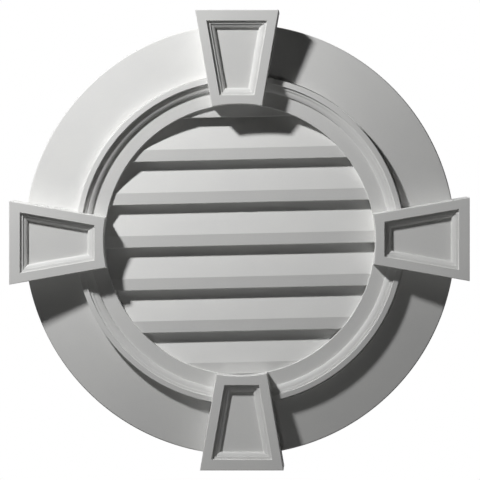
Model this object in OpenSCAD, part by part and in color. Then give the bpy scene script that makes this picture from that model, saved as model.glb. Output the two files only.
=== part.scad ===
// Round gable vent: fixed louvre slats housed in a moulded ring, a bevelled flat trim
// around it, four panelled keystones over both, and an insect screen on the back.
// The vent stands upright as on a wall: X to the right, Z up and the front towards -Y.
// The origin is the centre of the back face, and every depth is measured from that face.

/* [Louvre opening] */
// Diameter of the clear round opening
opening_d = 457.2; // [320:0.1:600]

/* [Moulded ring] */
// Width of the flat band beside the opening
inner_band_w = 25.4; // [22:0.1:40]
// Width of the moulding between the inner and the outer band
ring_moulding_w = 14.2; // [11:0.1:24]
// Climb of the moulding from the inner band to the outer one
ring_moulding_h = 12.2; // [10:0.1:16]
// Width of the raised outer band
outer_band_w = 9.2; // [5:0.1:20]
// Rise of the inner band above the trim at the foot of the ring
inner_band_rise = 2; // [1:0.1:12]
// Width of the ring's flange that rests on the trim
flange_lap = 15; // [8:0.1:20]
// Depth to which the flange is let into the trim
flange_sink = 3; // [1:0.1:6]

/* [Moulding profile] */
// Height of the plain fillet at the foot of a moulding
fillet_h = 3; // [1:0.1:4]
// Angle that the ovolo above the fillet turns through
ovolo_sweep = 40; // [10:1:44]
// Step between the ovolo and the bead
quirk = 1.7; // [0.5:0.1:2]
// Width of the shallow bead beside the face
bead_w = 4.6; // [3:0.1:6]
// Fall of the bead towards the step
bead_fall = 0.4; // [0.2:0.1:1]
// Angle that the bead turns through
bead_sweep = 10; // [4:1:20]
// Last step from the bead up to the face
face_step = 3.1; // [1:0.1:4]

/* [Flat trim] */
// Width of the trim outside the ring
trim_w = 88; // [50:0.5:130]
// Thickness of the trim at its rim
trim_rim_t = 24; // [14:0.5:34]
// Fall of the trim's face from the ring out to the rim
trim_fall = 9.5; // [2:0.5:16]
// Small bevel along the rim
trim_arris = 1.5; // [0.5:0.1:4]

/* [Keystones] */
// Width of a keystone at its outer end
keystone_outer_w = 140; // [110:0.5:180]
// Width of a keystone at the opening
keystone_inner_w = 84; // [74:0.5:100]
// Reach of a keystone beyond the rim of the trim
keystone_overhang = 20.3; // [8:0.1:40]
// Rise of a keystone's face above the outer band, at its outer end
keystone_rise = 27; // [18:0.5:40]
// Fall of a keystone's face from its outer end to the opening
keystone_fall = 9; // [0:0.5:14]
// Face left beside the recess
border_side = 16; // [10:0.1:20]
// Face left at the outer end of the recess
border_end = 18.2; // [10:0.1:26]
// Face left between the recess and the opening
border_mouth = 15; // [10:0.1:24]
// Width of the moulding round the sunk panel
panel_moulding_w = 11.5; // [10:0.1:14]
// Depth of the sunk panel below the face
panel_drop = 12.5; // [10.5:0.1:17]
// Hand-set offset of each keystone, counter-clockwise: top, right, bottom, left
keystone_set = [4.2, 1.3, 3.9, 4.5]; // [-5:0.1:5]

/* [Louvre slats] */
// Number of slats
slat_count = 7; // [5:1:9]
// Height of the upright lip on each slat
slat_lip_h = 20; // [14:0.5:28]
// Thickness of a slat
slat_t = 6; // [4:0.5:8]
// Distance of the lips behind the inner band
slat_setback = 5; // [2:0.5:8]
// Rise of each slat behind the lip above it
slat_overlap = 4.5; // [0:0.5:10]
// Depth of the housings for the slat ends in the ring
slat_housing = 8; // [4:0.5:12]
// Gap between the outermost lips and the edge of the opening
slat_end_gap = 1.1; // [0.5:0.1:6]
// Gap between the back edge of a slat and the screen
slat_back_gap = 1.9; // [1:0.1:4]
// Turn of the fitted louvre, counter-clockwise, in degrees
louvre_turn = 1.3; // [0:0.1:3]

/* [Insect screen] */
// Thickness of the screen
screen_t = 1.5; // [1:0.1:3]
// Lap of the screen on the back of the ring
screen_lap = 16; // [12:0.5:20]
// Spacing of the screen's bars
screen_pitch = 42; // [40:1:60]
// Width of the screen's bars
screen_bar = 3; // [2:0.5:6]

/* [Fits] */
// Gap left between curved or housed faces
fit_gap = 0.3; // [0.1:0.05:0.6]

/* [Hidden] */
$fn = 96;

// Radii, from the opening outwards
opening_r = opening_d / 2;
moulding_r = opening_r + inner_band_w;
outer_band_r = moulding_r + ring_moulding_w;
ring_r = outer_band_r + outer_band_w;
spigot_r = ring_r - flange_lap;
trim_r = ring_r + trim_w;
keystone_r = trim_r + keystone_overhang;
slat_end_r = opening_r + slat_housing;
screen_r = opening_r + screen_lap;

// Depths, from the wall to the front
trim_foot_t = trim_rim_t + trim_fall;
seat_t = trim_foot_t - flange_sink;
inner_band_t = trim_foot_t + inner_band_rise;
outer_band_t = inner_band_t + ring_moulding_h;
keystone_t = outer_band_t + keystone_rise;
lip_t = inner_band_t - slat_setback;
slat_back_t = screen_t + slat_back_gap;

// Slats: even pitch across the opening, and the lean that ends at the back depth
slat_pitch = (opening_d - 2 * slat_end_gap - slat_lip_h) / (slat_count - 1);
slat_rise = slat_pitch - slat_lip_h + slat_overlap;
slat_run = lip_t - slat_back_t;
slat_lean = acos(slat_t / norm([slat_run, slat_rise])) - atan2(slat_rise, slat_run);

// Keystone outline: its sides run on past the opening, whose edge then trims the end
mouth_y = sqrt(pow(opening_r, 2) - pow(keystone_inner_w / 2, 2));
side_turn = atan((keystone_outer_w - keystone_inner_w) / 2 / (keystone_r - mouth_y));
mouth_allowance = 8;
recess_y0 = opening_r + border_mouth;
recess_y1 = keystone_r - border_end;

// Points on each curve of a moulding
arc_steps = 6;

// Overlap that sinks a moulding into what carries it, and overshoot of the cutters
sink = 2;
overshoot = 1;

KEYSTONES = ["keystone_top", "keystone_right", "keystone_bottom", "keystone_left"];
SLATS = [for (i = [1:slat_count]) str("louvre_slat_", i)];

// Half the width of a keystone's face at a distance from the centre of the vent
function face_half(y) = keystone_inner_w / 2 + (y - mouth_y) * tan(side_turn);

// Depth of that face, which leans back towards the opening
function face_t(y) = keystone_t - keystone_fall * (keystone_r - y) / (keystone_r - mouth_y);

// Half the width of the recess in that face, inset by a distance
function recess_half(y, inset) = face_half(y) - (border_side + inset) / cos(side_turn);

// Corners of the recess, counter-clockwise from the left one beside the opening
function recess_outline(inset) =
    let (y0 = recess_y0 + inset, y1 = recess_y1 - inset) [
        [-recess_half(y0, inset), y0],
        [recess_half(y0, inset), y0],
        [recess_half(y1, inset), y1],
        [-recess_half(y1, inset), y1]
    ];

// Height of a slat's lip centre above the centre of the vent
function slat_y(i) = ((slat_count + 1) / 2 - i) * slat_pitch;

// Section of a slat as [height, depth]: an upright lip below a leaning blade, grown by a gap
function slat_section(gap) =
    let (
        half_turn = tan(slat_lean / 2),
        back = slat_t + gap,
        top = slat_lip_h / 2 + slat_rise + gap,
        front_knee = slat_lip_h / 2 + gap * half_turn,
        back_knee = slat_lip_h / 2 - back * half_turn,
        bottom = -slat_lip_h / 2 - gap
    ) [
        [bottom, lip_t + gap],
        [front_knee, lip_t + gap],
        [top, lip_t + gap - (top - front_knee) * tan(slat_lean)],
        [top, lip_t - back - (top - back_knee) * tan(slat_lean)],
        [back_knee, lip_t - back],
        [bottom, lip_t - back]
    ];

// Points of an arc that bulges upwards from a foot to a head and turns through an angle
function bulge(foot, head, sweep) =
    let (
        chord = head - foot,
        r = norm(chord) / (2 * sin(sweep / 2)),
        start = atan2(chord.y, chord.x) + 90 + sweep / 2,
        centre = foot - r * [cos(start), sin(start)]
    ) [for (i = [0:arc_steps]) let (a = start - sweep * i / arc_steps) centre + r * [cos(a), sin(a)]];

// Line of a moulding from the edge of its fillet, climbing along X over ovolo and bead to its last step
function moulding_line(w, h) =
    let (
        step_x = w - bead_w,
        head_y = h - face_step,
        step_y = head_y - bead_fall
    ) concat(
        bulge([0, fillet_h], [step_x, step_y - quirk], ovolo_sweep),
        bulge([step_x, step_y], [w, head_y], bead_sweep)
    );

// Line of the ring's moulding and outer band as [radius, depth]; a gap frees all but the bands
function ring_head(gap) = concat(
    [[moulding_r - gap, inner_band_t]],
    [for (p = moulding_line(ring_moulding_w, ring_moulding_h)) p + [moulding_r - gap, inner_band_t + gap]],
    [[outer_band_r - gap, outer_band_t], [ring_r + gap, outer_band_t]]
);

// Turns a shape drawn face up, with its depth along Z, to face the front of the vent
module upright() {
    rotate([90, 0, 0])
        children();
}

// A slat with its ends cut to the round, or with a gap the housing that takes it
module slat_blank(i, gap) {
    intersection() {
        rotate([0, 0, louvre_turn])
            translate([0, slat_y(i), 0])
                rotate([90, 0, 90])
                    linear_extrude(height = 2 * (slat_end_r + sink), center = true)
                        polygon(slat_section(gap));
        cylinder(r = slat_end_r + gap, h = keystone_t);
    }
}

module flat_trim() {
    arris_drop = trim_fall * trim_arris / trim_w;
    color("Gainsboro")
        upright()
            rotate_extrude()
                polygon([
                    [spigot_r + fit_gap, 0],
                    [trim_r, 0],
                    [trim_r, trim_rim_t - trim_arris],
                    [trim_r - trim_arris, trim_rim_t + arris_drop],
                    [ring_r + fit_gap, trim_foot_t],
                    [ring_r + fit_gap, seat_t],
                    [spigot_r + fit_gap, seat_t]
                ]);
}

module moulded_ring() {
    color("WhiteSmoke")
        upright()
            difference() {
                rotate_extrude()
                    polygon(concat(
                        [[opening_r, 0], [opening_r, inner_band_t]],
                        ring_head(0),
                        [[ring_r, seat_t], [spigot_r, seat_t], [spigot_r, 0]]
                    ));
                for (i = [1:slat_count])
                    slat_blank(i, fit_gap);
                translate([0, 0, -overshoot])
                    cylinder(r = screen_r + fit_gap, h = screen_t + overshoot);
            }
}

module louvre_slat(i) {
    color("WhiteSmoke")
        upright()
            slat_blank(i, 0);
}

// What a keystone is cut away for: the ring's bands touch it, the rest stays clear
module keystone_seat() {
    rotate_extrude()
        polygon(concat(
            [[0, -overshoot], [0, inner_band_t]],
            ring_head(fit_gap),
            [
                [ring_r + fit_gap, trim_foot_t + fit_gap],
                [trim_r + fit_gap, trim_rim_t + fit_gap],
                [trim_r + fit_gap, -overshoot]
            ]
        ));
    translate([0, 0, -overshoot])
        cylinder(r = opening_r, h = keystone_t + 2 * overshoot);
}

// Hollow of a sunk panel: the recess outline carried in and down along the moulding, with mitred corners
module panel_hollow() {
    line = concat(
        [[0, 0]],
        moulding_line(panel_moulding_w, panel_drop),
        [[panel_moulding_w, panel_drop + overshoot]]
    );
    rings = [
        for (p = line)
            [for (c = recess_outline(panel_moulding_w - p.x)) [c.x, c.y, face_t(c.y) - panel_drop + p.y]]
    ];
    n = len(rings[0]);
    top = n * (len(rings) - 1);
    sides = [
        for (i = [0:n:top - n], k = [0:n - 1])
            [i + k, i + n + k, i + n + (k + 1) % n, i + (k + 1) % n]
    ];
    floor = [for (k = [0:n - 1]) k];
    lid = [for (k = [0:n - 1]) top + n - 1 - k];
    polyhedron(points = [for (ring = rings) each ring], faces = concat([floor, lid], sides));
}

// A keystone drawn at the top of the vent, before it is cut to its seat: the common part of its front and
// side outlines, less the sunk panel
module keystone_block() {
    near_y = mouth_y - mouth_allowance;
    far_y = keystone_r + overshoot;
    difference() {
        intersection() {
            linear_extrude(height = keystone_t + overshoot)
                polygon([
                    [-face_half(near_y), near_y],
                    [face_half(near_y), near_y],
                    [face_half(keystone_r), keystone_r],
                    [-face_half(keystone_r), keystone_r]
                ]);
            rotate([90, 0, 90])
                linear_extrude(height = 2 * keystone_outer_w, center = true)
                    polygon([
                        [near_y - overshoot, 0],
                        [far_y, 0],
                        [far_y, face_t(far_y)],
                        [near_y - overshoot, face_t(near_y - overshoot)]
                    ]);
        }
        panel_hollow();
    }
}

// The keystones follow one another clockwise from the top
module keystone(k) {
    color("Gainsboro")
        upright()
            difference() {
                rotate([0, 0, -k * 360 / len(KEYSTONES)])
                    translate([-keystone_set[k], 0, 0])
                        keystone_block();
                keystone_seat();
            }
}

module insect_screen() {
    reach = ceil(opening_r / screen_pitch);
    cell = screen_pitch - screen_bar;
    color("DimGray")
        upright()
            linear_extrude(height = screen_t)
                difference() {
                    circle(r = screen_r);
                    intersection() {
                        circle(r = opening_r - screen_bar);
                        for (i = [-reach:reach - 1], j = [-reach:reach - 1])
                            if (norm([i + 1 / 2, j + 1 / 2]) * screen_pitch < opening_r - screen_bar)
                                translate([(i + 1 / 2) * screen_pitch, (j + 1 / 2) * screen_pitch])
                                    square(cell, center = true);
                    }
                }
}

flat_trim();
moulded_ring();
for (i = [1:slat_count])
    louvre_slat(i);
for (k = [0:len(KEYSTONES) - 1])
    keystone(k);
insect_screen();
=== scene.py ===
# %% [markdown]
# # A round gable vent
# The vent is a louvre in a moulded ring, with a broad flat trim around it and four panelled keystones
# over both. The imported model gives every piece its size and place. This lesson gives each piece the
# softened edges, the primer coat and the light that the eye expects, and it never moves a piece.

import math

import bpy
import numpy as np
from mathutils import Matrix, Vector


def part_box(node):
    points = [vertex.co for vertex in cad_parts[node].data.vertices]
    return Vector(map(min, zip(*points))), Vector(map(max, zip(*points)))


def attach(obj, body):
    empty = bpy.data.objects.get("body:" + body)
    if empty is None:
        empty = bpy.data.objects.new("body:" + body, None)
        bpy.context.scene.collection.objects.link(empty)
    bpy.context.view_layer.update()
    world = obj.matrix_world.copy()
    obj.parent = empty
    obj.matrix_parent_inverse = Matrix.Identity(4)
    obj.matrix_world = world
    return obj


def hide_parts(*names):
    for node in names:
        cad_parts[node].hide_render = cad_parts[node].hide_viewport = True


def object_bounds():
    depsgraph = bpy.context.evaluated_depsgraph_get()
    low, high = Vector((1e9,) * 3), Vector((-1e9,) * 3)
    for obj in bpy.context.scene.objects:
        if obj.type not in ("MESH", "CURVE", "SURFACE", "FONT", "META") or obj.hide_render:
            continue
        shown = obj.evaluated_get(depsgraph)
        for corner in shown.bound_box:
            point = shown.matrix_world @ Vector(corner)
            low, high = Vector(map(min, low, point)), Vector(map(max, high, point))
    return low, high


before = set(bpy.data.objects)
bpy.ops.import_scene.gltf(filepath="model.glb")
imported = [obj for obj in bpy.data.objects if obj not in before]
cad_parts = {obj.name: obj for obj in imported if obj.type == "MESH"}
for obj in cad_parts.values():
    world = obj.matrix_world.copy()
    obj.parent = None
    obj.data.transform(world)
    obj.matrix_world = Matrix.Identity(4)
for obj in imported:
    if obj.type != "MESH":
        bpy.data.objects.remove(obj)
cad_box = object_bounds()
scene = bpy.context.scene
print("frame:", len(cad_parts), "nodes, box", [tuple(round(v, 4) for v in p) for p in cad_box])

# %% [markdown]
# ## Sizes
# The main radii and depths can be typed in again or read from the frame. Reading them keeps the looks
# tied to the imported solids, so only the small sizes that a box can't tell are written here.
# Every size is in millimetres, and depth is counted from the wall to the front.

# %% Sizes from the frame
MM = 0.001


def reach(node):
    """Largest distances of a node from the vent's centre: to the right, upwards, and depth to the front."""
    low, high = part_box(node)
    return high.x / MM, high.z / MM, -low.y / MM


trim_r, _, trim_foot_t = reach("flat_trim")
ring_r, _, outer_band_t = reach("moulded_ring")
_, keystone_r, keystone_t = reach("keystone_top")
_, screen_r, screen_t = reach("insect_screen")
lip_t = reach("louvre_slat_4")[2]
print(f"radii: trim {trim_r:.1f}, ring {ring_r:.1f}, keystones {keystone_r:.1f}")
print(f"depths: trim {trim_foot_t:.1f}, ring {outer_band_t:.1f}, keystones {keystone_t:.1f}")

# %% [markdown]
# ## Grids and pieces
# Every piece below is a grid of points: a line carried round or along, or outlines nested in one another.
# One function joins a grid into four-sided faces and another puts it into a mesh. Faces have to point
# outwards, and the sign of the volume that they enclose tells whether they do.

# %% Grid helpers
SHARP = math.radians(32)


def quads(index):
    """Four-sided faces between the neighbouring rows and columns of an array of point numbers."""
    corners = (index[:-1, :-1], index[:-1, 1:], index[1:, 1:], index[1:, :-1])
    return np.stack(corners, -1).reshape(-1, 4)


def numbered(rows, columns, close_rows=False, close_columns=False):
    """Point numbers of a grid, with the first row or column repeated at the end where the grid closes."""
    index = np.arange(rows * columns).reshape(rows, columns)
    if close_rows:
        index = np.concatenate([index, index[:1]])
    if close_columns:
        index = np.concatenate([index, index[:, :1]], 1)
    return index


def make_piece(name, points, faces, finish, slot, node=None):
    """A mesh object from points in millimetres and four-sided faces, riding on the vent.

    The volume is the sum over all triangles of a . (b x c) / 6; where it is negative, the faces are turned.
    """
    points = points.reshape(-1, 3) * MM
    a, b, c, d = (points[faces[:, k]] for k in range(4))
    volume = (np.cross(b, c) * a + np.cross(c, d) * a).sum() / 6
    if volume < 0:
        faces = faces[:, ::-1]
    mesh = bpy.data.meshes.new(name)
    mesh.from_pydata(points.tolist(), [], faces.tolist())
    mesh.polygons.foreach_set("use_smooth", np.ones(len(faces), bool))
    mesh.set_sharp_from_angle(angle=SHARP)
    mesh.materials.append(finish)
    piece = bpy.data.objects.new(name, mesh)
    scene.collection.objects.link(piece)
    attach(piece, "root")
    if node:
        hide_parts(node)
    print(f"{name}: {len(faces)} faces, {abs(volume) * 1e6:.0f} cm3")
    return piece


# %% [markdown]
# ## Softened lines
# Paint never leaves an edge sharp: each arris carries a small round that catches the light. A bevel
# modifier could add it, but a line whose corners are already arcs keeps the faces in even rows.
# A holding point beside each arc keeps the flat next to it truly flat in the shading.

# %% Lines with arcs
ARC_STEPS = 5
ARC_SHARE = 0.4
HOLD = 0.2
HOLD_SHARE = 0.05


def arc(centre, radius, start, end, steps=8):
    """Points centre + radius (cos a, sin a) for angles a, in degrees, from start to end."""
    a = np.radians(np.linspace(start, end, steps + 1))
    return np.asarray(centre) + radius * np.stack([np.cos(a), np.sin(a)], -1)


def rounded(corners, radii):
    """An open line with an arc in place of each inner corner.

    An arc starts at radius / tan(half the corner's angle) from its corner, and its centre lies on the
    bisector. Its points blend the two end spokes u and v: (sin((1-t)s) u + sin(t s) v) / sin(s),
    where s is the angle that the arc turns. No arc takes more than a fixed share of the shorter side.
    """
    p = np.asarray(corners, float)
    back, ahead = p[:-2] - p[1:-1], p[2:] - p[1:-1]
    length_back = np.linalg.norm(back, axis=1, keepdims=True)
    length_ahead = np.linalg.norm(ahead, axis=1, keepdims=True)
    back, ahead = back / length_back, ahead / length_ahead
    half = np.arccos(np.clip((back * ahead).sum(1, keepdims=True), -1, 1)) / 2
    shortest = np.minimum(length_back, length_ahead)
    set_back = np.minimum(np.reshape(radii, (-1, 1)) / np.tan(half), ARC_SHARE * shortest)
    hold = np.minimum(HOLD, HOLD_SHARE * shortest)
    bisector = (back + ahead) / np.linalg.norm(back + ahead, axis=1, keepdims=True)
    centre = p[1:-1] + bisector * set_back / np.cos(half)
    spoke_in, spoke_out = p[1:-1] + back * set_back - centre, p[1:-1] + ahead * set_back - centre
    turn = (np.pi - 2 * half)[:, None]
    t = np.linspace(0, 1, ARC_STEPS + 1)[None, :, None]
    spokes = np.sin((1 - t) * turn) * spoke_in[:, None] + np.sin(t * turn) * spoke_out[:, None]
    arcs = centre[:, None] + spokes / np.sin(turn)
    first = (p[1:-1] + back * (set_back + hold))[:, None]
    last = (p[1:-1] + ahead * (set_back + hold))[:, None]
    return np.concatenate([p[:1], np.concatenate([first, arcs, last], 1).reshape(-1, 2), p[-1:]])


def refined(line, step):
    """The same line with extra points, so that no stretch is longer than about a step."""
    along = np.concatenate([[0], np.cumsum(np.linalg.norm(np.diff(line, axis=0), axis=1))])
    extra = np.arange(step, along[-1], step)
    extra = extra[np.abs(extra[:, None] - along[None]).min(1) > 0.2 * step]
    t = np.sort(np.concatenate([along, extra]))
    return np.stack([np.interp(t, along, line[:, 0]), np.interp(t, along, line[:, 1])], -1)


# %% [markdown]
# ## Colours and nodes
# Colours are written as sRGB hex values, the way a paint chart gives them. The renderer works in
# linear light, so one function turns them over. One more adds a node with its settings and links.

# %% Colour and node helpers
def linear(hex_colour):
    """Linear RGBA of an sRGB hex colour.

    A channel c up to 0.04045 is divided by 12.92, and above that it is (c + 0.055) / 1.055 to the power 2.4.
    """
    srgb = np.array([int(hex_colour[k : k + 2], 16) for k in (0, 2, 4)]) / 255
    rgb = np.where(srgb <= 0.04045, srgb / 12.92, ((srgb + 0.055) / 1.055) ** 2.4)
    return (*rgb.tolist(), 1.0)


def add_node(tree, kind, inputs=None, **settings):
    """A node of a kind; each input takes a value, or a link where it is given another node's output."""
    node = tree.nodes.new(kind)
    for key, value in settings.items():
        setattr(node, key, value)
    for key, value in (inputs or {}).items():
        if isinstance(value, bpy.types.NodeSocket):
            tree.links.new(value, node.inputs[key])
        else:
            node.inputs[key].default_value = value
    return node


def new_material(name):
    """An empty node material, and the socket of its output that takes the surface."""
    material = bpy.data.materials.new(name)
    material.use_nodes = True
    material.node_tree.nodes.clear()
    output = material.node_tree.nodes.new("ShaderNodeOutputMaterial")
    return material, material.node_tree, output.inputs["Surface"]


# %% [markdown]
# ## Primed cellular PVC
# The vent is cut and moulded from cellular PVC board and sprayed with a white factory primer. The coat
# is dead matt, a little uneven from pass to pass, and it has the fine tooth of a sanding primer. A plain
# white would do from afar, but the eye misses the tooth at once. Two noises in object coordinates give
# it: a broad one for the coat and a fine one for the tooth. The true grain is about 0.3 mm; it is drawn
# at about a millimetre, or it would not show in the render at all. Hardly any sheen is left to it.

# %% Primer material
COAT_MM = 70
TOOTH_MM = 1.1
TOOTH_DEPTH_MM = 0.02
TOOTH_STRENGTH = 0.6
BLEND_LOW, BLEND_HIGH = 0.7, 1.3
PRIMER_SMOOTHEST, PRIMER_ROUGHEST = 0.55, 0.7
PRIMER_IOR = 1.48
PRIMER_SHEEN = 0.05


def per_metre(size_mm):
    """Noise scale whose features are about a given size."""
    return 1 / (size_mm * MM)


def primed_pvc(name, thin_hex, full_hex):
    """White primer on cellular PVC: matt, with a broad variation of the coat and a fine tooth."""
    material, tree, surface = new_material(name)
    place = add_node(tree, "ShaderNodeTexCoord").outputs["Object"]
    coat = add_node(tree, "ShaderNodeTexNoise",
                    {"Vector": place, "Scale": per_metre(COAT_MM), "Detail": 3.0})
    tooth = add_node(tree, "ShaderNodeTexNoise",
                     {"Vector": place, "Scale": per_metre(TOOTH_MM), "Detail": 2.0})
    blend = add_node(tree, "ShaderNodeMath", {0: coat.outputs["Fac"], 1: tooth.outputs["Fac"]},
                     operation="ADD")
    share = add_node(tree, "ShaderNodeMapRange",
                     {"Value": blend.outputs[0], "From Min": BLEND_LOW, "From Max": BLEND_HIGH})
    colour = add_node(tree, "ShaderNodeMix",
                      {"Factor": share.outputs[0], "A": linear(thin_hex), "B": linear(full_hex)},
                      data_type="RGBA")
    matt = add_node(tree, "ShaderNodeMapRange",
                    {"Value": tooth.outputs["Fac"], "To Min": PRIMER_SMOOTHEST, "To Max": PRIMER_ROUGHEST})
    relief = add_node(tree, "ShaderNodeBump",
                      {"Height": tooth.outputs["Fac"], "Strength": TOOTH_STRENGTH,
                       "Distance": TOOTH_DEPTH_MM * MM})
    shader = add_node(tree, "ShaderNodeBsdfPrincipled",
                      {"Base Color": colour.outputs["Result"], "Roughness": matt.outputs[0],
                       "Normal": relief.outputs[0], "IOR": PRIMER_IOR, "Specular IOR Level": PRIMER_SHEEN})
    tree.links.new(shader.outputs[0], surface)
    return material


primer = primed_pvc("primed_cellular_pvc", "E1E1E0", "E6E6E4")
print("material:", primer.name)

# %% [markdown]
# ## The flat trim
# On the real vent this is a plain board ring, cut on a router and bevelled along its rim. It could be
# a cylinder with a hole, but its face falls a little towards the rim, so a section turned about the
# vent's axis is the true form: the shape is a function of the place on the section and of the angle.
# The step that takes the moulded ring is cut a little wide, and the board lies slipped to the right,
# so a narrow gap opens beside the ring there. The edge of that step is all that is moved for it.

# %% Turned pieces
TURN_STEPS = 360
FIT_GAP = 0.3
FLANGE_LAP = 15
FLANGE_SINK = 3
TRIM_RIM_T = 24
TRIM_ARRIS = 1.5
EDGE_SOFT = 0.5
TRIM_SLIP = 1.3

spigot_r = ring_r - FLANGE_LAP
seat_t = trim_foot_t - FLANGE_SINK
hole_r = ring_r + FIT_GAP + TRIM_SLIP
print(f"the ring's step in the trim: {hole_r:.1f} in radius, slipped by {TRIM_SLIP}")


def turned(line):
    """A closed section of [radius, depth] carried round the axis: x = r cos a, y = -depth, z = r sin a."""
    angle = np.linspace(0, 2 * np.pi, TURN_STEPS, endpoint=False)[:, None]
    r, depth = line[:, 0], line[:, 1]
    shape = TURN_STEPS, len(line)
    points = np.stack([r * np.cos(angle), np.broadcast_to(-depth, shape), r * np.sin(angle)], -1)
    return points, quads(numbered(*shape, close_rows=True, close_columns=True))


def closed_section(corners, radii):
    """A closed line with an arc at every corner, opened halfway along its last side."""
    middle = (np.asarray(corners[0], float) + np.asarray(corners[-1], float)) / 2
    return rounded([middle, *corners, middle], radii)[:-1]


# %% Flat trim
arris_drop = (trim_foot_t - TRIM_RIM_T) * TRIM_ARRIS / (trim_r - ring_r)
trim_section = closed_section(
    [
        (spigot_r + FIT_GAP, 0),
        (trim_r, 0),
        (trim_r, TRIM_RIM_T - TRIM_ARRIS),
        (trim_r - TRIM_ARRIS, TRIM_RIM_T + arris_drop),
        (hole_r, trim_foot_t),
        (hole_r, seat_t),
        (spigot_r + FIT_GAP, seat_t),
    ],
    [EDGE_SOFT] * 7,
)
trim_points, trim_faces = turned(trim_section)
# The points along the edge of the ring's step slip to the right.
at_hole = np.abs(trim_section[:, 0] - hole_r) < 2 * EDGE_SOFT
trim_points[:, at_hole, 0] += TRIM_SLIP
make_piece("painted_trim", trim_points, trim_faces, primer, "primed_white", "flat_trim")

# %% [markdown]
# ## The moulded ring
# The ring is turned too. Its face steps up from a flat band beside the opening, over a fillet, an ovolo
# and a shallow bead, to a narrow outer band that falls a little outwards. The moulding could be a free
# curve, but ovolo and bead are arcs of circles, so the line is joined from arcs and steps, and the same
# line serves again for the panels of the keystones.

# %% Moulding line
INNER_BAND_W = 25.4
RING_MOULDING_W = 14.2
RING_MOULDING_H = 12.2
OUTER_BAND_W = 9.2
FILLET_H = 3
OVOLO_SWEEP = 40
QUIRK = 1.7
BEAD_W = 4.6
BEAD_FALL = 0.4
BEAD_SWEEP = 10
FACE_STEP = 3.6


def bulge(foot, head, sweep):
    """Arc that bulges upwards from a foot to a head and turns through an angle in degrees.

    Its radius is chord / (2 sin(sweep / 2)). Its first spoke stands at the chord's angle + 90 + sweep / 2.
    """
    chord = np.subtract(head, foot)
    radius = np.hypot(*chord) / (2 * math.sin(math.radians(sweep / 2)))
    start = math.degrees(math.atan2(chord[1], chord[0])) + 90 + sweep / 2
    spokes = arc((0, 0), radius, start, start - sweep)
    return spokes - spokes[0] + foot


def moulding_line(width, height):
    """Line of a moulding: from its fillet's edge over ovolo, step and bead to the foot of the last step."""
    step_x, head_y = width - BEAD_W, height - FACE_STEP
    step_y = head_y - BEAD_FALL
    return np.concatenate([
        bulge((0, FILLET_H), (step_x, step_y - QUIRK), OVOLO_SWEEP),
        bulge((step_x, step_y), (width, head_y), BEAD_SWEEP),
    ])


# %% Moulded ring
SCREEN_REBATE = 0.3
RIM_SOFT = 0.8
OUTER_BAND_FALL = 0.6

outer_band_r = ring_r - OUTER_BAND_W
moulding_r = outer_band_r - RING_MOULDING_W
opening_r = moulding_r - INNER_BAND_W
inner_band_t = outer_band_t - RING_MOULDING_H
rebate_r = screen_r + SCREEN_REBATE
ring_moulding = moulding_line(RING_MOULDING_W, RING_MOULDING_H) + (moulding_r, inner_band_t)
print(f"opening {2 * opening_r:.1f} across, moulding of {len(ring_moulding)} points")
ring_inside = rounded(
    [(rebate_r, screen_t), (opening_r, screen_t), (opening_r, inner_band_t), (moulding_r, inner_band_t)],
    [EDGE_SOFT, RIM_SOFT],
)
ring_outside = rounded(
    [
        ring_moulding[-1],
        (outer_band_r, outer_band_t),
        (ring_r, outer_band_t - OUTER_BAND_FALL),
        (ring_r, seat_t),
        (spigot_r, seat_t),
        (spigot_r, 0),
        (rebate_r, 0),
        (rebate_r, screen_t),
    ],
    [EDGE_SOFT, RIM_SOFT, EDGE_SOFT, EDGE_SOFT, EDGE_SOFT, EDGE_SOFT],
)
ring_section = np.concatenate([ring_inside, ring_moulding, ring_outside[1:-1]])
make_piece("painted_ring", *turned(ring_section), primer, "primed_white", "moulded_ring")

# %% [markdown]
# ## The louvre slats
# Each slat is an extrusion, an upright lip with a blade that leans back behind the lip above it. Its
# ends are cut to the round and housed in the ring. A Boolean could trim it, but the trimmed length is
# known: at a height h it is twice the root of R^2 - h^2, so the section is simply carried that far.

# %% Louvre slats
SLAT_COUNT = 7
SLAT_LIP_H = 20
SLAT_T = 6
SLAT_OVERLAP = 4.5
SLAT_HOUSING = 8
SLAT_END_GAP = 1.1
SLAT_BACK_GAP = 1.9
LOUVRE_TURN = math.radians(1.3)
LIP_SOFT = 0.9
SLAT_STEPS = 24
BLADE_STEP = 4.0
TOP_ALLOWANCE = 0.5

slat_end_r = opening_r + SLAT_HOUSING
slat_pitch = (2 * opening_r - 2 * SLAT_END_GAP - SLAT_LIP_H) / (SLAT_COUNT - 1)
slat_rise = slat_pitch - SLAT_LIP_H + SLAT_OVERLAP
slat_run = lip_t - screen_t - SLAT_BACK_GAP
slat_lean = math.acos(SLAT_T / math.hypot(slat_run, slat_rise)) - math.atan2(slat_rise, slat_run)


def slat_section(centre):
    """Closed section of a slat as [height, depth], cut off where it would rise past the housings."""
    lip, lean = SLAT_LIP_H / 2, math.tan(slat_lean)
    top = min(lip + slat_rise, slat_end_r - TOP_ALLOWANCE - centre)
    back_knee = lip - SLAT_T * math.tan(slat_lean / 2)
    corners = [
        (-lip, lip_t),
        (lip, lip_t),
        (top, lip_t - (top - lip) * lean),
        (top, lip_t - SLAT_T - (top - back_knee) * lean),
        (back_knee, lip_t - SLAT_T),
        (-lip, lip_t - SLAT_T),
    ]
    return refined(closed_section(corners, [LIP_SOFT, LIP_SOFT] + [EDGE_SOFT] * 4), BLADE_STEP)


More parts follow.
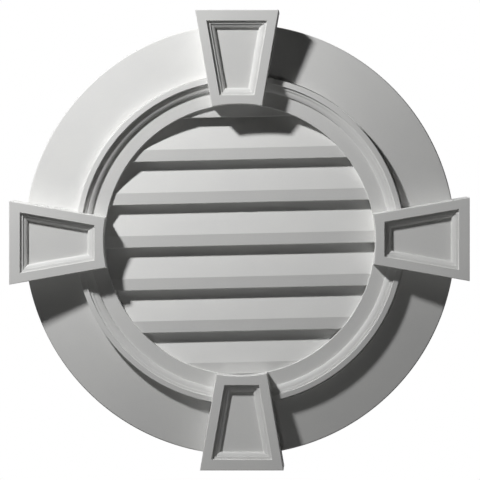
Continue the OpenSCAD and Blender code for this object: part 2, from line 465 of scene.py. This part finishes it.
def slat_surface(centre):
    """The section carried across the louvre: x = u root(R^2 - h^2), then turned about the vent's axis."""
    section = slat_section(centre)
    section = section[: len(section) // 2 * 2]
    h = section[:, 0] + centre
    x = np.linspace(-1, 1, SLAT_STEPS)[:, None] * np.sqrt(slat_end_r**2 - h**2)
    turn_x = x * math.cos(LOUVRE_TURN) - h * math.sin(LOUVRE_TURN)
    turn_z = x * math.sin(LOUVRE_TURN) + h * math.cos(LOUVRE_TURN)
    points = np.stack([turn_x, np.broadcast_to(-section[:, 1], x.shape), turn_z], -1)
    index = numbered(*x.shape, close_columns=True)
    folded = np.stack([index[:, : x.shape[1] // 2], index[:, x.shape[1] // 2 : -1][:, ::-1]], 1)
    ends = np.concatenate([quads(folded[0][::-1]), quads(folded[-1])])
    return points, np.concatenate([quads(index), ends])


for number in range(1, SLAT_COUNT + 1):
    centre = ((SLAT_COUNT + 1) / 2 - number) * slat_pitch
    points, faces = slat_surface(centre)
    make_piece(f"painted_slat_{number}", points, faces, primer, "primed_white", f"louvre_slat_{number}")

# %% [markdown]
# ## The keystones
# A keystone is a tapered block with a sunk panel and a mitred moulding round it. Its face leans down
# towards the opening, and its sides spread a little towards the wall, as on a piece that has to leave
# a mould. The front could be carved with insets, but a mitre is only one outline drawn again and again,
# each time further in and at another depth. So the front is a stack of outlines from the panel out to
# the face and down the sides. Below, the block follows the ring and the trim, so its underside is a
# second grid of arcs between its two sides, at the radii where the ring and the trim step.

# %% Keystone sizes
KEYSTONE_OUTER_W = 140
KEYSTONE_INNER_W = 84
KEYSTONE_FALL = 9
BORDER_SIDE = 16
BORDER_END = 18.2
BORDER_MOUTH = 15
PANEL_MOULDING_W = 11.5
PANEL_DROP = 12.5
KEYSTONE_SETS = {"top": 4.2, "right": 1.3, "bottom": 3.9, "left": 4.5}
FACE_SOFT = 1.0
SIDE_DRAFT = 1.2
SIDE_NUDGE = 0.02
ACROSS = np.linspace(0, 1, 15)

mouth_y = math.sqrt(opening_r**2 - (KEYSTONE_INNER_W / 2) ** 2)
taper = (KEYSTONE_OUTER_W - KEYSTONE_INNER_W) / 2 / (keystone_r - mouth_y)
side_stretch = math.hypot(1, taper)
face_slope = KEYSTONE_FALL / (keystone_r - mouth_y)
recess_y0, recess_y1 = opening_r + BORDER_MOUTH, keystone_r - BORDER_END

seat_line = np.concatenate([
    [(opening_r, inner_band_t), (moulding_r - FIT_GAP, inner_band_t)],
    ring_moulding + (-FIT_GAP, FIT_GAP),
    [(outer_band_r - FIT_GAP, outer_band_t), (ring_r + FIT_GAP, outer_band_t)],
    [(ring_r + FIT_GAP, trim_foot_t + FIT_GAP), (trim_r + FIT_GAP, TRIM_RIM_T + FIT_GAP)],
    [(trim_r + FIT_GAP, 0), (keystone_r, 0)],
])
seat_line[:, 0] += SIDE_NUDGE * np.arange(len(seat_line))
print(f"keystone sides turn {math.degrees(math.atan(taper)):.2f} degrees, seat of {len(seat_line)} points")


# %% Keystone outlines
def half_width(y, inset):
    """Half the width of a keystone at a distance y from the centre, less an inset square to its side."""
    return KEYSTONE_INNER_W / 2 + (y - mouth_y) * taper - inset * side_stretch


def side_points(sign, radii, inset, offset):
    """Where a side meets circles about the vent's centre, which lies at (offset, 0) in the keystone.

    The side is x = sign (A + B y) from that centre, so (A + B y)^2 + y^2 = r^2 is solved for y.
    """
    a = half_width(0, inset) - sign * offset
    y = (np.sqrt((1 + taper**2) * radii**2 - a**2) - a * taper) / (1 + taper**2)
    y[-1] = keystone_r
    return np.stack([sign * half_width(y, inset), y], -1)


def row_between(left, right, offset):
    """Points of the arc about the vent's centre from a left to a right point at the same radius."""
    start, end = (np.arctan2(p[:, :1] - offset, p[:, 1:]) for p in (left, right))
    angle = start + (end - start) * ACROSS
    radius = np.linalg.norm(left - (offset, 0), axis=1, keepdims=True)
    arcs = np.stack([offset + radius * np.sin(angle), radius * np.cos(angle)], -1)
    arcs[-1] = left[-1] + (right[-1] - left[-1]) * ACROSS[:, None]
    return arcs


def rim_of(rows):
    """The outermost points of a grid in order: first row, last column, last row back, first column back."""
    return np.concatenate([rows[0], rows[1:, -1], rows[-1, -2::-1], rows[-2:0:-1, 0]])


def block_rows(inset, offset, spread=0.0):
    """Grid over the keystone's outline: arcs between its sides, which are inset by a distance or spread."""
    radii = seat_line[:, 0].copy()
    radii[0] += inset
    left, right = (side_points(sign, radii, inset - spread, offset) for sign in (-1, 1))
    left[-1, 1] = right[-1, 1] = keystone_r - inset
    return row_between(left, right, offset)


def panel_rows(inset, share):
    """Grid over the recess, inset by a distance; share gives where the rows lie along its length."""
    y = recess_y0 + inset + (recess_y1 - recess_y0 - 2 * inset) * share
    x = half_width(y, BORDER_SIDE + inset)[:, None] * (2 * ACROSS - 1)
    return np.stack([x, np.broadcast_to(y[:, None], x.shape)], -1)


# %% Keystones
def at_depth(grid, below):
    """Grid points as x, y and depth, a distance below the face, which falls evenly towards the opening."""
    depth = keystone_t - face_slope * (keystone_r - grid[..., 1:]) - below
    return np.concatenate([grid, depth], -1)


def keystone_surface(offset):
    """Nested outlines from the panel to the seat, with a grid over the panel and one over the underside."""
    rows = block_rows(0, offset)
    share = (rows[:, -1, 1] - rows[0, -1, 1]) / (rows[-1, -1, 1] - rows[0, -1, 1])
    line = np.concatenate([
        [(0, 0)],
        moulding_line(PANEL_MOULDING_W, PANEL_DROP),
        np.array([PANEL_MOULDING_W, PANEL_DROP]) + [(0, -EDGE_SOFT), (EDGE_SOFT, 0), (EDGE_SOFT + HOLD, 0)],
    ])
    bend = np.radians(np.linspace(0, 90, ARC_STEPS + 1))
    edge = FACE_SOFT * np.stack([1 - np.sin(bend), 1 - np.cos(bend)], -1)
    edge = np.concatenate([[(FACE_SOFT + HOLD, 0)], edge, [(0, FACE_SOFT + HOLD)]])
    levels = [at_depth(panel_rows(PANEL_MOULDING_W - x, share), PANEL_DROP - rise) for x, rise in line]
    levels += [at_depth(block_rows(inset, offset), below) for inset, below in edge]
    seat = np.broadcast_to(seat_line[:, None, 1:], (*rows.shape[:2], 1))
    levels.append(np.concatenate([block_rows(0, offset, SIDE_DRAFT), seat], -1))
    rims = np.stack([rim_of(grid) for grid in levels])
    count, around = rims.shape[:2]
    inside = [grid[1:-1, 1:-1].reshape(-1, 3) for grid in (levels[0], levels[-1])]
    points = np.concatenate([rims.reshape(-1, 3), *inside])
    panel = cover(rows.shape[:2], 0, count * around)
    underside = cover(rows.shape[:2], (count - 1) * around, count * around + len(inside[0]))
    walls = quads(numbered(count, around, close_columns=True))
    return points, np.concatenate([quads(panel[::-1]), walls, quads(underside)])


def cover(shape, first_rim, first_inner):
    """Point numbers of a grid whose rim is an outline already numbered and whose inside is new."""
    index = np.zeros(shape, int)
    ring = rim_of(np.arange(index.size).reshape(*shape, 1))[:, 0]
    index.flat[ring] = first_rim + np.arange(len(ring))
    index[1:-1, 1:-1] = first_inner + np.arange((shape[0] - 2) * (shape[1] - 2)).reshape(shape[0] - 2, -1)
    return index


def placed(points, offset, quarter):
    """A keystone drawn at the top, shifted off its axis and turned clockwise by quarters: x, -depth, z."""
    x, y, depth = points[:, 0] - offset, points[:, 1], points[:, 2]
    turn = math.radians(-90 * quarter)
    right = x * math.cos(turn) - y * math.sin(turn)
    up = x * math.sin(turn) + y * math.cos(turn)
    return np.stack([right, -depth, up], -1)


for quarter, (side, offset) in enumerate(KEYSTONE_SETS.items()):
    points, faces = keystone_surface(offset)
    make_piece(f"painted_keystone_{side}", placed(points, offset, quarter), faces, primer, "primed_white",
               f"keystone_{side}")

# %% [markdown]
# ## The insect screen
# Behind the slats lies a screen of aluminium wire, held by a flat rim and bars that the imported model
# already has. Insect mesh is finer than a render can show, so the wires here stand 6 mm apart. A bump
# could hint at them, but light has to pass between. Each wire is a straight six-sided rod whose length
# follows the round of the rim, and two layers cross in the middle of the screen's thickness.

# %% Screen wires
WIRE_PITCH = 6.0
WIRE_R = 0.32
WIRE_SIDES = 6
SCREEN_RIM = 19.0
DRAWING_MARK_MM = 2.5
MILL_SMOOTHEST, MILL_ROUGHEST = 0.35, 0.6


def mill_aluminium(name):
    """Drawn aluminium wire and sheet as it leaves the mill: bare metal, dulled by fine drawing marks."""
    material, tree, surface = new_material(name)
    place = add_node(tree, "ShaderNodeTexCoord").outputs["Object"]
    marks = add_node(tree, "ShaderNodeTexNoise",
                     {"Vector": place, "Scale": per_metre(DRAWING_MARK_MM), "Detail": 4.0})
    dull = add_node(tree, "ShaderNodeMapRange",
                    {"Value": marks.outputs["Fac"], "To Min": MILL_SMOOTHEST, "To Max": MILL_ROUGHEST})
    colour = add_node(tree, "ShaderNodeMix",
                      {"Factor": marks.outputs["Fac"], "A": linear("A7A8A9"), "B": linear("BDBEBF")},
                      data_type="RGBA")
    shader = add_node(tree, "ShaderNodeBsdfPrincipled",
                      {"Base Color": colour.outputs["Result"], "Metallic": 1.0,
                       "Roughness": dull.outputs[0]})
    tree.links.new(shader.outputs[0], surface)
    return material


def rods(places, depth, upright):
    """Six-sided rods at given places across the screen: each runs u root(R^2 - p^2) along its own line."""
    half = np.sqrt((screen_r - SCREEN_RIM + WIRE_PITCH / 2) ** 2 - places**2)[:, None, None]
    angle = np.arange(WIRE_SIDES) * 2 * np.pi / WIRE_SIDES
    along = np.array([-1, 1])[None, :, None] * half + np.zeros(WIRE_SIDES)
    across = places[:, None, None] + WIRE_R * np.cos(angle) + np.zeros_like(along)
    out = -(depth + WIRE_R * np.sin(angle)) + np.zeros_like(along)
    points = np.stack([across, out, along] if upright else [along, out, across], -1)
    ring = np.arange(WIRE_SIDES)
    sides = np.stack([ring, np.roll(ring, -1), np.roll(ring, -1) + WIRE_SIDES, ring + WIRE_SIDES], -1)
    caps = np.array([(3, 2, 1, 0), (5, 4, 3, 0), (6, 7, 8, 9), (6, 9, 10, 11)])
    one = np.concatenate([sides, caps]) if upright else np.concatenate([sides, caps])[:, ::-1]
    firsts = 2 * WIRE_SIDES * np.arange(len(places))
    return points.reshape(-1, 3), (one + firsts[:, None, None]).reshape(-1, 4)


aluminium = mill_aluminium("mill_aluminium")
span = screen_r - SCREEN_RIM
places = np.arange(-math.floor(span / WIRE_PITCH), math.floor(span / WIRE_PITCH) + 1) * WIRE_PITCH
upright_points, upright_faces = rods(places, screen_t / 2 - WIRE_R, True)
level_points, level_faces = rods(places, screen_t / 2 + WIRE_R, False)
make_piece("screen_wires", np.concatenate([upright_points, level_points]),
           np.concatenate([upright_faces, level_faces + len(upright_points)]), aluminium, "screen_mesh")
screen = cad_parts["insect_screen"]
screen.data.materials.clear()
screen.data.materials.append(aluminium)

# %% [markdown]
# ## The floor
# The vent is shown on its own before white, as on a product page: a pale floor below and white beyond.
# More light on the floor would whiten it too, but that light would come back to the vent. So the floor is
# an ordinary pale paint to the light, and nearly white only to the camera and to reflections. A small
# share of the paint stays in what the camera sees, so that a shadow on the floor still shows.

# %% Floor
FLOOR_BELOW = 2.0
FLOOR_HALF = 8.0
FLOOR_WHITE_SHARE = 0.97


def seen_directly(tree):
    """Socket that is 1 for rays from the camera, off a gloss or through glass, and 0 for other light."""
    path = add_node(tree, "ShaderNodeLightPath")
    seen = add_node(tree, "ShaderNodeMath",
                    {0: path.outputs["Is Camera Ray"], 1: path.outputs["Is Glossy Ray"]},
                    operation="MAXIMUM")
    seen = add_node(tree, "ShaderNodeMath",
                    {0: seen.outputs[0], 1: path.outputs["Is Transmission Ray"]}, operation="MAXIMUM")
    return seen.outputs[0]


def pale_floor():
    """A matt pale floor that the camera sees as nearly white, still darker where the vent shades it."""
    material, tree, surface = new_material("pale_floor_paint")
    seen = seen_directly(tree)
    share = add_node(tree, "ShaderNodeMath", {0: seen, 1: FLOOR_WHITE_SHARE}, operation="MULTIPLY")
    matt = add_node(tree, "ShaderNodeBsdfDiffuse", {"Color": linear("E8E8E6")})
    white = add_node(tree, "ShaderNodeEmission", {"Color": (1, 1, 1, 1), "Strength": 1.0})
    both = add_node(tree, "ShaderNodeMixShader",
                    {0: share.outputs[0], 1: matt.outputs[0], 2: white.outputs[0]})
    tree.links.new(both.outputs[0], surface)
    return material


floor_z = cad_box[0].z - FLOOR_BELOW
floor_mesh = bpy.data.meshes.new("floor")
floor_mesh.from_pydata([(x, y, floor_z) for x, y in ((-FLOOR_HALF, -FLOOR_HALF), (FLOOR_HALF, -FLOOR_HALF),
                                                     (FLOOR_HALF, FLOOR_HALF), (-FLOOR_HALF, FLOOR_HALF))],
                       [], [(0, 1, 2, 3)])
floor_mesh.materials.append(pale_floor())
floor = bpy.data.objects.new("floor", floor_mesh)
scene.collection.objects.link(floor)
print(f"floor: {2 * FLOOR_HALF} m across, {FLOOR_BELOW} m below the vent")

# %% [markdown]
# ## The light
# A product picture of a white thing lives by its shadows. One broad soft light would be kinder, but the
# mouldings would go flat in it. So a small lamp high on the left rakes across the face at about 30
# degrees and keeps the shadows crisp, a weak one low in front lightens them, and a third behind lights
# the back and the gaps of the louvre. The sky gives next to no light, and like the floor it is white
# only to the camera and to reflections.

# %% Light
EVEN_STRENGTH = 0.001


def add_lamp(name, place, watts, size):
    """A round soft lamp at a place in metres, facing the middle of the vent."""
    data = bpy.data.lights.new(name, "AREA")
    data.shape = "DISK"
    data.size = size
    data.energy = watts
    lamp = bpy.data.objects.new(name, data)
    lamp.location = place
    lamp.rotation_euler = (-Vector(place)).to_track_quat("-Z", "Y").to_euler()
    scene.collection.objects.link(lamp)
    print(f"{name}: {watts} W, {size} m across, at {place}")


add_lamp("key", (-1.03, -0.97, 1.28), 34.0, 0.17)
add_lamp("fill", (-0.2, -2.7, -1.0), 2.0, 0.3)
add_lamp("back", (-1.2, 2.6, 1.0), 30.0, 1.0)

world = bpy.data.worlds.new("white_studio")
scene.world = world
world.use_nodes = True
sky = world.node_tree
sky.nodes.clear()
even = add_node(sky, "ShaderNodeBackground", {"Color": (1, 1, 1, 1), "Strength": EVEN_STRENGTH})
white = add_node(sky, "ShaderNodeBackground", {"Color": (1, 1, 1, 1), "Strength": 1.0})
both = add_node(sky, "ShaderNodeMixShader",
                {0: seen_directly(sky), 1: even.outputs[0], 2: white.outputs[0]})
add_node(sky, "ShaderNodeOutputWorld", {"Surface": both.outputs[0]})
print("even light", EVEN_STRENGTH)

# %% [markdown]
# ## The camera
# The vent is seen nearly head-on from a few metres. A camera turned towards its middle would make the
# circle an oval, so this one looks straight ahead from a little to the right and above, and its lens is
# shifted back to the middle. The circle stays round, and the thin sides that face the camera still show.

# %% Camera
VIEW_DISTANCE = 4.0
FRAME_WIDTH_MM = 811.6
SENSOR_MM = 36.0
CAMERA_RIGHT = 0.08
CAMERA_UP = 0.10
AIM_RIGHT = 0.0003
AIM_UP = -0.0007

camera_data = bpy.data.cameras.new("camera")
camera_data.sensor_width = SENSOR_MM
camera_data.lens = SENSOR_MM * VIEW_DISTANCE / (FRAME_WIDTH_MM * MM)
camera_data.shift_x = (AIM_RIGHT - CAMERA_RIGHT) / (FRAME_WIDTH_MM * MM)
camera_data.shift_y = (AIM_UP - CAMERA_UP) / (FRAME_WIDTH_MM * MM)
camera = bpy.data.objects.new("camera", camera_data)
camera.location = (CAMERA_RIGHT, -VIEW_DISTANCE - inner_band_t * MM, CAMERA_UP)
camera.rotation_euler = (math.pi / 2, 0, 0)
scene.collection.objects.link(camera)
scene.camera = camera
scene.view_settings.view_transform = "Standard"
print(f"camera: {camera_data.lens:.0f} mm lens at {VIEW_DISTANCE} m")
